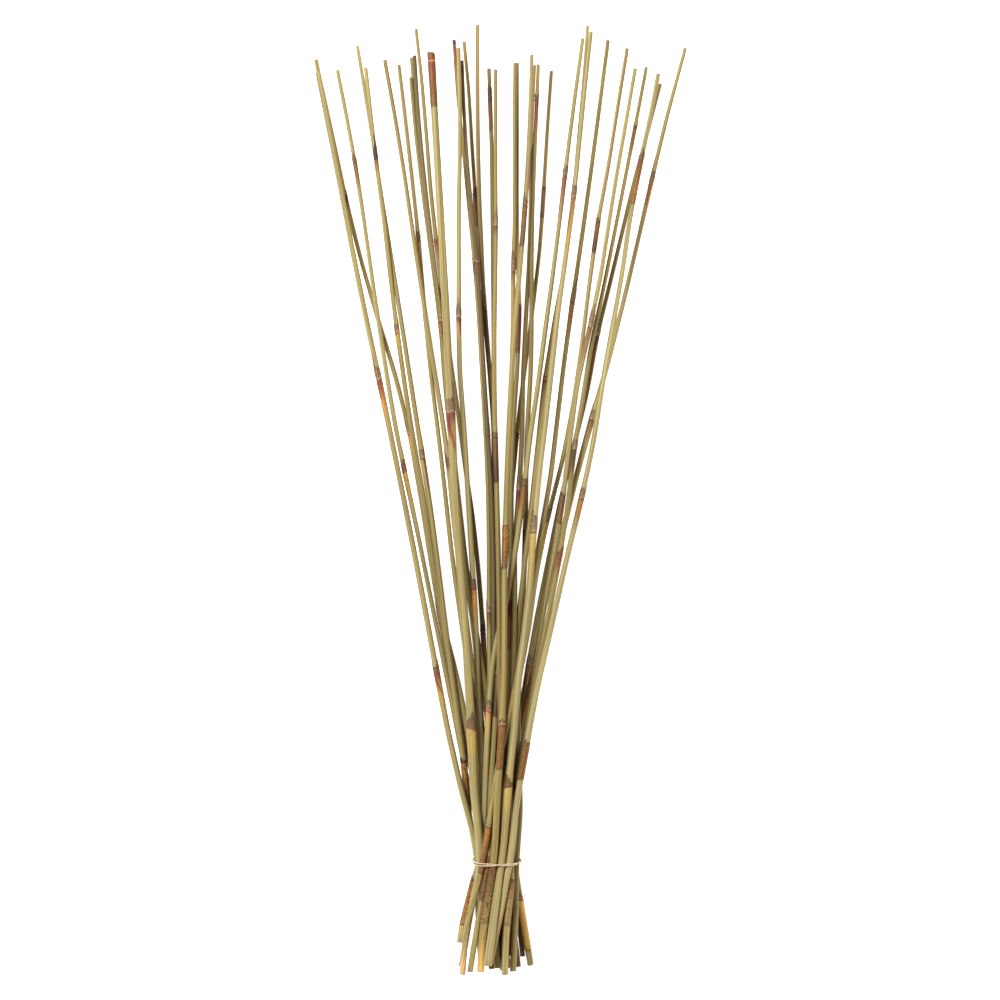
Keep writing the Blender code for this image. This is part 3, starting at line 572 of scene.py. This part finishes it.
def dressed(joints, body, at, turn, chance):
    """The colour, the spots and the growth in mm of each point of a reed, with one row for each ring."""
    colour = body_colour(body, at, turn, chance)
    spots = np.zeros(colour.shape[:2])
    growth = np.zeros_like(spots)
    for joint in joints:
        lean_side, top_side, tooth_side, tongue_side = chance.uniform(0.0, 2 * math.pi, 4)
        slope = LEAN * np.cos(turn - lean_side) if joint.lean is None else -joint.lean * np.cos(turn)
        up = at[:, None] - (joint.y + slope)
        line = peak(up / LINE_WIDTH)

        # How high the sheath's remnant goes on each side
        slant = COVER_SLANT * np.cos(turn - top_side)
        wave = COVER_WAVE * np.sin(2 * turn + tooth_side)
        spike = COVER_SPIKE * peak(turned(turn - top_side) / SPIKE_WIDTH)
        teeth = COVER_TEETH * chance.uniform(-1.0, 1.0, len(turn))
        top = joint.sheath * (COVER_BODY + slant + wave + spike + teeth)
        cover = eased(up / LINE_WIDTH) * eased((top - up) / COVER_EDGE)

        # The band and its streak
        down = -up / joint.band
        soft = SHARP_FOOT if joint.foot else SOFT_FOOT
        band = eased(-up / LINE_WIDTH) * (1.0 - eased((down - 1.0 + soft) / soft))
        tongues = TONGUE_WAVE * np.cos(turn - tongue_side)
        tongues = tongues + TONGUE_TEETH * chance.uniform(-1.0, 1.0, len(turn))
        change = eased(down * BAND_CHANGE + tongues * eased(down * TONGUE_RISE))
        shade = mixed(linear(joint.upper), linear(joint.lower), change)
        colour = mixed(colour, shade, band * (1.0 if joint.foot else BAND_STRENGTH))
        if joint.streak:
            colour = streaked(colour, joint.streak, -up, turn)

        # The remnant with its brown edge and its pale rim, the line, and the band's sharp foot
        papery = linear(joint.cover) * chance.uniform(*COVER_LIGHT, len(turn))[None, :, None]
        papery = papery * (COVER_FOOT_LIGHT - COVER_FADE * np.clip(up / top, 0.0, 1.0))[..., None]
        colour = mixed(colour, papery, COVER_STRENGTH * cover)
        edge = cover * eased((up - top + BROWN_EDGE) / BROWN_FADE)
        colour = mixed(colour, linear("dark brown"), BROWN_STRENGTH * edge)
        if joint.cover in PALE_RIMMED:
            colour = mixed(colour, linear("pale pink"), RIM_STRENGTH * peak((up - RIM_PLACE) / RIM_WIDTH))
        colour = mixed(colour, linear(joint.line), LINE_STRENGTH * line)
        if joint.foot:
            foot = peak((down - 1.0) * joint.band / LINE_WIDTH)
            colour = mixed(colour, linear("dark brown"), FOOT_STRENGTH * foot)

        spots = np.maximum(spots, np.maximum(band * joint.mottle, cover * COVER_MOTTLE))
        growth += COVER_THICKNESS * cover - LINE_DEPTH * line
        growth += RIDGE_HEIGHT * peak((up + RIDGE_PLACE) / RIDGE_WIDTH)
        if joint.foot:
            growth += BAND_THICKNESS * band
    # Painted shade: the reeds made darker where the bunch is dense, near the tie
    shade_place, shade_share = zip(*PAINTED_SHADE_ALONG)
    colour = colour * np.interp(at, shade_place, shade_share)[:, None, None]
    return np.clip(colour, 0.0, 1.0), spots, growth


def marked(name, at, turn, radius, colour, growth):
    """The colour and the growth with the small marks of that reed laid over them."""
    for mark in MARKS.get(name, ()):
        away = turned(turn - np.radians(mark.side))[None] * radius[:, None]
        near = peak((at[:, None] - mark.y) / mark.half_length) * peak(away / mark.half_width)
        colour = mixed(colour, linear(mark.colour), np.clip(MARK_GAIN * near, 0.0, MARK_STRENGTH))
        growth = growth + mark.height * near
    return colour, growth


def cut_end(middle, outward, along, inward, tilt):
    """The rings of a cut end, from its rim over a flat face to the sunken pith."""
    rings = []
    for share, depth, _ in CUT_PROFILE:
        rings.append(middle + share * outward + depth * inward + (share * tilt)[:, None] * along)
    return rings


def tube_faces(rings, sides, closed=False):
    """Faces between each ring and the next, and across both ends, or from the last ring to the first."""
    faces = []
    for ring in range(rings - 1):
        for side in range(sides):
            low = ring * sides + side
            next_low = ring * sides + (side + 1) % sides
            faces.append((low, next_low, next_low + sides, low + sides))
    last = (rings - 1) * sides
    if closed:
        for side in range(sides):
            following = (side + 1) % sides
            faces.append((last + side, last + following, following, side))
    else:
        faces.append(tuple(range(sides))[::-1])
        faces.append(tuple(range(last, last + sides)))
    return faces


def add_piece(name, points, faces, surface, fields):
    """A mesh piece with its material and its fields, each a row of values per point."""
    mesh = bpy.data.meshes.new(name)
    mesh.from_pydata(points.tolist(), [], faces)
    for field, (kind, values) in fields.items():
        made = mesh.attributes.new(field, kind, "POINT")
        key = {"FLOAT_COLOR": "color", "FLOAT_VECTOR": "vector", "FLOAT": "value"}[kind]
        made.data.foreach_set(key, np.ascontiguousarray(values, np.float32).ravel())
    mesh.shade_smooth()
    mesh.set_sharp_from_angle(angle=SHARP_ANGLE)
    mesh.materials.append(surface)
    made = bpy.data.objects.new(name, mesh)
    bpy.context.scene.collection.objects.link(made)
    return made


def add_reed(name, index, tie_y, surface):
    """The finer reed in place of a solid one, with its joints, its marks and its two cut ends."""
    chance = np.random.default_rng(SEED + index)
    cuts, x, z, radius = spine(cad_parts[name])
    cuts = (cuts - tie_y) / MM
    beyond = END_MARGIN / MM / 2
    at = ring_places(name, cuts[0] - beyond, cuts[-1] + beyond)
    x, z, radius = [np.interp(at, cuts, row / MM) for row in (x, z, radius)]
    middle = np.stack([x, at, z], 1)
    along = unit(np.gradient(middle, at, axis=0))
    side = unit(np.cross(along, (0.0, 0.0, 1.0)))
    above = np.cross(side, along)
    turn = np.arange(SIDES) / SIDES * 2 * math.pi

    colour, spots, growth = dressed(JOINTS[name], BODY_AND_SHADE_COLOURS[name], at, turn, chance)
    colour, growth = marked(name, at, turn, radius, colour, growth)
    flute = 1.0
    for number, depth, shift in FLUTES:
        flute = flute + depth * np.cos(number * turn + shift * index)
    swelling = 1.0
    for length, height, shift in SWELLINGS:
        swelling = swelling + height * np.sin(at / length + shift * index)
    reach = radius[:, None] * flute * swelling[:, None] + growth
    around = np.cos(turn)[:, None] * side[:, None] + np.sin(turn)[:, None] * above[:, None]
    outward = reach[..., None] * around
    rings = middle[:, None] + outward

    caps = []
    for end, inward in ((0, along[0]), (-1, -along[-1])):
        tilt = CUT_TILT * np.cos(turn - chance.uniform(0.0, 2 * math.pi))
        caps.append(cut_end(middle[end], outward[end], along[end], inward, tilt))
        rings[end] += tilt[:, None] * along[end]
    butt, tip = caps
    rings = np.concatenate([butt[::-1], rings, tip])
    cut_colour = np.array([linear(shade) for _, _, shade in CUT_PROFILE])
    cut_colour = cut_colour[:, None] * np.ones((1, SIDES, 1))
    colour = np.concatenate([cut_colour[::-1], colour, cut_colour])
    spots = np.pad(spots, ((len(CUT_PROFILE), len(CUT_PROFILE)), (0, 0)))
    height = np.pad(at, len(CUT_PROFILE), mode="edge")[:, None]

    points = rings.reshape(-1, 3) * MM
    points[:, 1] += tie_y
    twist = height * TWISTS.get(name, COMMON_TWIST) + turn
    depth = height / FIBRE_LENGTH + index * FIBRE_SHIFT + 0.0 * turn
    fibre = np.stack([np.cos(twist), np.sin(twist), depth], -1)
    tint = np.concatenate([colour, np.ones((len(rings), SIDES, 1))], -1)
    piece = add_piece(name + "_stem", points, tube_faces(len(rings), SIDES), surface, {
        "tint": ("FLOAT_COLOR", tint),
        "fibre": ("FLOAT_VECTOR", fibre),
        "mottle": ("FLOAT", spots),
    })
    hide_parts(name)
    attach(piece, "root")
    return piece


def tube(middle, radius, closed):
    """The rings of points of a round strand along a line, and the fibre coordinates of each point."""
    along = np.roll(middle, -1, axis=0) - np.roll(middle, 1, axis=0)
    if not closed:
        along[0] = middle[1] - middle[0]
        along[-1] = middle[-1] - middle[-2]
    along = unit(along)
    outward = unit(np.cross(along, (0.0, 1.0, 0.0)) + TINY)
    across = np.cross(outward, along)
    turn = np.arange(STRAND_SIDES) / STRAND_SIDES * 2 * math.pi
    around = np.cos(turn)[:, None] * across[:, None] + np.sin(turn)[:, None] * outward[:, None]
    steps = np.linalg.norm(np.diff(middle, axis=0), axis=1)
    length = np.concatenate([[0.0], np.cumsum(steps)])[:, None]
    twist = turn + length * STRAND_TWIST
    fibre = np.stack([np.cos(twist), np.sin(twist), length / STRAND_FIBRE_LENGTH + 0.0 * twist], -1)
    reach = (radius * np.ones(len(middle)))[:, None, None]
    return middle[:, None] + reach * around, fibre


def tie_course(centre):
    """Angles round the bunch, with the solid tie's middle in mm from the centre and the way out at each."""
    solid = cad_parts["tie"].data
    corners = [vertex.co for vertex in solid.vertices]
    tree = BVHTree.FromPolygons(corners, [face.vertices for face in solid.polygons])
    angles = np.linspace(-math.pi, math.pi, STRAND_STEPS, endpoint=False)
    inner = []
    outer = []
    for angle in angles:
        start = Vector((centre[0], centre[1] - TIE_TILT * MM * math.sin(angle), centre[2]))
        ray = Vector((math.cos(angle), 0.0, math.sin(angle)))
        inner.append((tree.ray_cast(start, ray)[0] - start).length)
        outer.append((tree.ray_cast(start + ray, -ray)[0] - start).length)
    width = np.median(np.array(outer) - np.array(inner))
    reach = (np.array(inner) + width / 2) / MM
    middle = np.stack([reach * np.cos(angles), -TIE_TILT * np.sin(angles), reach * np.sin(angles)], 1)
    outward = np.stack([np.cos(angles), 0.0 * angles, np.sin(angles)], 1)
    return angles, middle, outward


def wound_strands(angles, middle, outward):
    """The two strands round the bunch, each as its line, its radius and whether it is closed."""
    strands = []
    apart = STRAND_APART + LOOSE_EXTRA * peak(turned(angles - LOOSE_ANGLE) / LOOSE_WIDTH)
    for phase in (0.0, math.pi):
        change = angles * STRAND_CHANGES + phase
        beside = apart * np.tanh(CHANGE_SHARPNESS * np.cos(change)) / math.tanh(CHANGE_SHARPNESS)
        over = STRAND_RADIUS * OVER_HEIGHT * peak(np.cos(change) / OVER_WIDTH) * np.sign(np.sin(change))
        line = middle + beside[:, None] * np.array([0.0, 1.0, 0.0]) + over[:, None] * outward
        strands.append((line, STRAND_RADIUS, True))
    return strands


def knot_strands(place, outward):
    """The knot, a closed trefoil loop, and the two cut tails that leave it, each like a wound strand."""
    along_y = np.array([0.0, 1.0, 0.0])
    beside = np.cross(outward, along_y)
    place = place + outward * KNOT_OUT
    turn = np.linspace(0.0, 2 * math.pi, KNOT_STEPS, endpoint=False)[:, None]
    loop = KNOT_SIZE * (np.sin(turn) + 2 * np.sin(2 * turn)) * beside
    loop = loop + KNOT_SIZE * (np.cos(turn) - 2 * np.cos(2 * turn)) * along_y
    loop = loop - KNOT_SIZE * np.sin(3 * turn) * outward
    strands = [(place + loop, STRAND_RADIUS * KNOT_STRAND, True)]
    run = np.linspace(0.0, 1.0, TAIL_STEPS)
    for way in (1.0, -1.0):
        bow = TAIL_BOW * np.sin(run * TAIL_TURN)[:, None] * outward
        spread = way * TAIL_SPREAD * run[:, None] * beside
        tail = place + way * TAIL_LENGTH * run[:, None] * along_y + bow + spread
        strands.append((tail, STRAND_RADIUS * (1.0 - TAIL_TAPER * run**3), False))
    return strands


def add_tie(tie_y, surface):
    """Two strands round the bunch where the solid tie lies, and the knot that joins them."""
    low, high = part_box("tie")
    centre = np.array([(low[0] + high[0]) / 2, tie_y + TIE_PLACE * MM, (low[2] + high[2]) / 2])
    angles, middle, outward = tie_course(centre)
    at_knot = int(np.argmin(np.abs(angles - KNOT_ANGLE)))
    strands = wound_strands(angles, middle, outward) + knot_strands(middle[at_knot], outward[at_knot])
    points = np.zeros((0, 3))
    fibres = np.zeros((0, 3))
    faces = []
    for line, radius, closed in strands:
        rings, fibre = tube(line, radius, closed)
        first = len(points)
        for face in tube_faces(len(rings), STRAND_SIDES, closed):
            faces.append(tuple(first + corner for corner in face))
        points = np.concatenate([points, rings.reshape(-1, 3)])
        fibres = np.concatenate([fibres, fibre.reshape(-1, 3)])
    points = points * MM + centre
    points[:, 2] = np.maximum(points[:, 2], 0.0)
    piece = add_piece("tie_strands", points, faces, surface, {"fibre": ("FLOAT_VECTOR", fibres)})
    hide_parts("tie")
    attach(piece, "root")
    return piece


def new_surface(name):
    """A new material, with its shader and the functions that add nodes and links to it."""
    material = bpy.data.materials.new(name)
    material.use_nodes = True
    tree = material.node_tree

    def add(kind, inputs=(), **settings):
        node = tree.nodes.new(kind)
        for key, value in settings.items():
            setattr(node, key, value)
        for socket, value in dict(inputs).items():
            if isinstance(value, bpy.types.NodeSocket):
                tree.links.new(value, node.inputs[socket])
            else:
                node.inputs[socket].default_value = value
        return node

    return material, tree.nodes["Principled BSDF"], add, tree.links.new


def stretched_noise(add, fibre, noise):
    """Noise on the fibre coordinates, finer the larger its scales round and along the stem are."""
    mapping = add("ShaderNodeMapping", {"Vector": fibre, "Scale": (noise.round, noise.round, noise.along)})
    return add("ShaderNodeTexNoise", {"Vector": mapping.outputs[0], "Scale": 1.0, "Detail": noise.detail,
                                      "Roughness": NOISE_ROUGHNESS}).outputs["Fac"]


def range_of(add, value, result, part=NOISE_RANGE):
    """The value's part between two numbers, brought to the range of the result."""
    return add("ShaderNodeMapRange", {"Value": value, "From Min": part[0], "From Max": part[1],
                                      "To Min": result[0], "To Max": result[1]}).outputs[0]


def scaled(add, colour, light):
    """The colour made that many times as light."""
    return add("ShaderNodeVectorMath", {0: colour, "Scale": light}, operation="SCALE").outputs[0]


def blended(add, share, colour, other):
    """The colour with a share of the other one in it."""
    mix = add("ShaderNodeMix", {"Factor": share, "A": colour, "B": other}, data_type="RGBA")
    return mix.outputs["Result"]


def relief(add, coarse, fine, share, strength, height):
    """The normals of a surface whose height is the coarse noise and a share of the fine one."""
    total = add("ShaderNodeMath", {0: coarse, 1: fine, 2: share}, operation="MULTIPLY_ADD").outputs[0]
    return add("ShaderNodeBump", {"Strength": strength, "Distance": height, "Height": total}).outputs[0]


def reed_surface(name, contrast, roughness):
    """Dry reed: the tint of each point, fine lengthwise fibres, weathered blotches and spots on the bands."""
    material, shader, add, link = new_surface(name)
    tint = add("ShaderNodeAttribute", attribute_name="tint").outputs["Color"]
    fibre = add("ShaderNodeAttribute", attribute_name="fibre").outputs["Vector"]
    mottle = add("ShaderNodeAttribute", attribute_name="mottle").outputs["Fac"]
    fine = stretched_noise(add, fibre, FINE_NOISE)
    broad = stretched_noise(add, fibre, BROAD_NOISE)
    grain = stretched_noise(add, fibre, GRAIN_NOISE)
    spot = stretched_noise(add, fibre, SPOT_NOISE)
    streaks = range_of(add, fine, (1.0 - contrast, 1.0 + contrast * FIBRE_LIGHTER), FIBRE_PART)
    toned = scaled(add, scaled(add, tint, streaks), range_of(add, broad, CLOUD_LIGHT))
    weathered = blended(add, range_of(add, broad, WEATHER_SHARE, WEATHER_PART), toned, WEATHER_COLOUR)
    dark = range_of(add, spot, SPOT_SHARE, SPOT_PART)
    dotted = add("ShaderNodeMath", {0: dark, 1: mottle}, operation="MULTIPLY").outputs[0]
    link(blended(add, dotted, weathered, SPOT_COLOUR), shader.inputs["Base Color"])
    rough = [roughness + change for change in ROUGHER]
    link(range_of(add, fine, rough), shader.inputs["Roughness"])
    link(relief(add, fine, grain, REED_GRAIN, REED_BUMP, REED_BUMP_HEIGHT), shader.inputs["Normal"])
    shader.inputs["Specular IOR Level"].default_value = REED_SPECULAR
    return material


def tie_surface():
    """Pale twine: fine fibres that wind round each strand."""
    material, shader, add, link = new_surface("tie_twine")
    fibre = add("ShaderNodeAttribute", attribute_name="fibre").outputs["Vector"]
    plies = stretched_noise(add, fibre, PLY_NOISE)
    fuzz = stretched_noise(add, fibre, FUZZ_NOISE)
    link(blended(add, range_of(add, plies, (0.0, 1.0)), TWINE_DARK, TWINE_LIGHT), shader.inputs["Base Color"])
    link(range_of(add, fuzz, TWINE_ROUGHNESS), shader.inputs["Roughness"])
    link(relief(add, plies, fuzz, TWINE_FUZZ, TWINE_BUMP, TWINE_BUMP_HEIGHT), shader.inputs["Normal"])
    shader.inputs["Sheen Weight"].default_value = TWINE_SHEEN
    return material


def add_floor():
    """A pale floor that glows a little, so that it shows as white."""
    material, shader, add, link = new_surface("floor")
    where = add("ShaderNodeTexCoord").outputs["Object"]
    patches = add("ShaderNodeTexNoise", {"Vector": where, "Scale": FLOOR_PATCHES, "Detail": FLOOR_DETAIL})
    link(blended(add, patches.outputs["Fac"], *FLOOR_TONES), shader.inputs["Base Color"])
    shader.inputs["Roughness"].default_value = FLOOR_ROUGHNESS
    shader.inputs["Specular IOR Level"].default_value = FLOOR_SPECULAR
    shader.inputs["Emission Color"].default_value = WHITE
    shader.inputs["Emission Strength"].default_value = FLOOR_GLOW
    half = FLOOR_SIZE / 2
    mesh = bpy.data.meshes.new("floor")
    corners = [(-half, -half, 0), (half, -half, 0), (half, half, 0), (-half, half, 0)]
    mesh.from_pydata(corners, [], [(0, 1, 2, 3)])
    mesh.materials.append(material)
    floor = bpy.data.objects.new("floor", mesh)
    bpy.context.scene.collection.objects.link(floor)


def add_light(name, light):
    """A square lamp that shines at the origin."""
    data = bpy.data.lights.new(name, "AREA")
    data.energy = light.power
    data.size = light.size
    data.color = light.colour
    lamp = bpy.data.objects.new(name, data)
    lamp.location = light.place
    lamp.rotation_euler = (-Vector(light.place)).to_track_quat("-Z", "Y").to_euler()
    bpy.context.scene.collection.objects.link(lamp)


def add_world():
    """A dim white sky."""
    world = bpy.data.worlds.new("studio")
    world.use_nodes = True
    world.node_tree.nodes["Background"].inputs["Color"].default_value = WHITE
    world.node_tree.nodes["Background"].inputs["Strength"].default_value = WORLD_STRENGTH
    bpy.context.scene.world = world


def add_camera():
    """A camera straight above that sees the width of the photo's frame at the height of the reeds."""
    data = bpy.data.cameras.new("camera")
    data.sensor_width = SENSOR
    data.lens = SENSOR * (CAMERA_HEIGHT - SEEN_HEIGHT) / SEEN_WIDTH
    camera = bpy.data.objects.new("camera", data)
    camera.location = (*VIEW_CENTRE, CAMERA_HEIGHT)
    bpy.context.scene.collection.objects.link(camera)
    bpy.context.scene.camera = camera


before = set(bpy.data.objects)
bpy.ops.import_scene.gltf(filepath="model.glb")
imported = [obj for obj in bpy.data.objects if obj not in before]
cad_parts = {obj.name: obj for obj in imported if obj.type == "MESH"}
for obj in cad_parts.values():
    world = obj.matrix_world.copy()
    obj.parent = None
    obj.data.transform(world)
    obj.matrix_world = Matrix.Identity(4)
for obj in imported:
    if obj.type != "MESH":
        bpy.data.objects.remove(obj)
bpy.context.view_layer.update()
box_low, box_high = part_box("tie")
tie_place = (box_low[1] + box_high[1]) / 2 - (TIE_PLACE + TIE_BOX_SHIFT) * MM
surfaces = {name: reed_surface(name, *look) for name, look in SURFACES.items()}
for number, reed in enumerate(JOINTS):
    slot = "reed_umber" if reed in DARK_REEDS else "reed_olive" if reed in OLIVE_REEDS else "reed_straw"
    add_reed(reed, number, tie_place, surfaces[slot])
add_tie(tie_place, tie_surface())

add_floor()
add_world()
for lamp, look in LIGHTS.items():
    add_light(lamp, look)
add_camera()
bpy.context.scene.view_settings.view_transform = "Standard"
